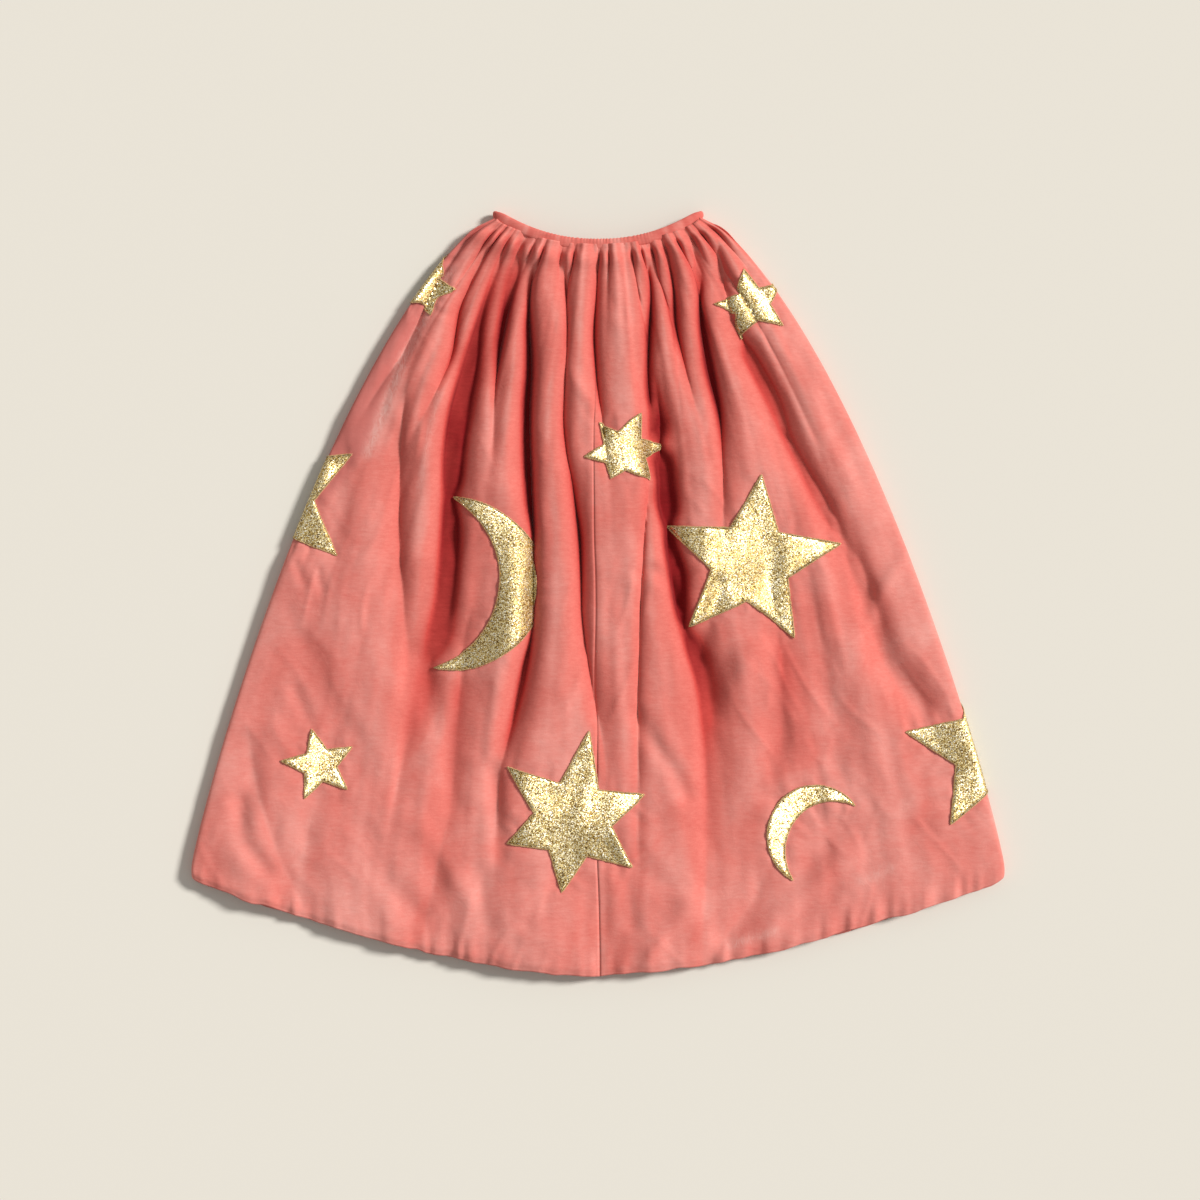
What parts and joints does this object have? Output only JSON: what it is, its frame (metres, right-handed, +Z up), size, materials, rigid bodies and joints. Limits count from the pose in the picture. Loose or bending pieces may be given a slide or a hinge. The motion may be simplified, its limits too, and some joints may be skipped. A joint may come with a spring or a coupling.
{
  "type": "superhero cape",
  "caption": "Child's gathered velvet cape, lined and bagged out, with star and moon appliques, laid flat with its back up.",
  "frame": {"origin": "the point on the resting surface under the middle of the cape's bounding box", "axes": "+X across the hem, +Y from hem to neck, +Z up from the surface the cape lies on"},
  "size_m": [0.7404, 0.694, 0.0284],
  "materials": {
    "velvet": "coral velvet with a soft nap",
    "lining": "smooth woven lining",
    "foil": "gold glitter fabric with a satin-stitched edge",
    "elastic": "woven elastic",
    "label": "plain satin ribbon",
    "hook": "woven nylon tape with hooks",
    "loop": "brushed nylon tape with loops"
  },
  "bodies": {
    "back": {"outer_left": "velvet", "outer_right": "velvet", "neckband_back": "velvet", "lining_left": "lining", "lining_right": "lining", "star_shoulder_left": "foil", "star_shoulder_right": "foil", "star_small_back": "foil", "star_side_left": "foil", "moon_large": "foil", "star_large_back": "foil", "star_small_hem": "foil", "star_large_hem": "foil", "moon_small_hem": "foil", "star_side_right": "foil", "neck_elastic": "elastic", "care_label": "label"},
    "left_front": {"outer_left_front": "velvet", "lining_left_front": "lining", "neckband_left": "velvet", "hook_pad": "hook", "star_front_left": "foil", "star_small_front_left": "foil"},
    "right_front": {"outer_right_front": "velvet", "lining_right_front": "lining", "neckband_right": "velvet", "loop_pad": "loop", "moon_front_right": "foil", "star_small_front_right": "foil"}
  },
  "joints": [
    {"name": "left_front_turn", "type": "hinge", "parent": "back", "child": "left_front", "pos_m": [-0.161, 0, 0], "axis": [0.2113, 0.9774, 0], "range_deg": [0, 165]},
    {"name": "right_front_turn", "type": "hinge", "parent": "back", "child": "right_front", "pos_m": [0.161, 0, 0], "axis": [0.2113, -0.9774, 0], "range_deg": [0, 165]}
  ]
}
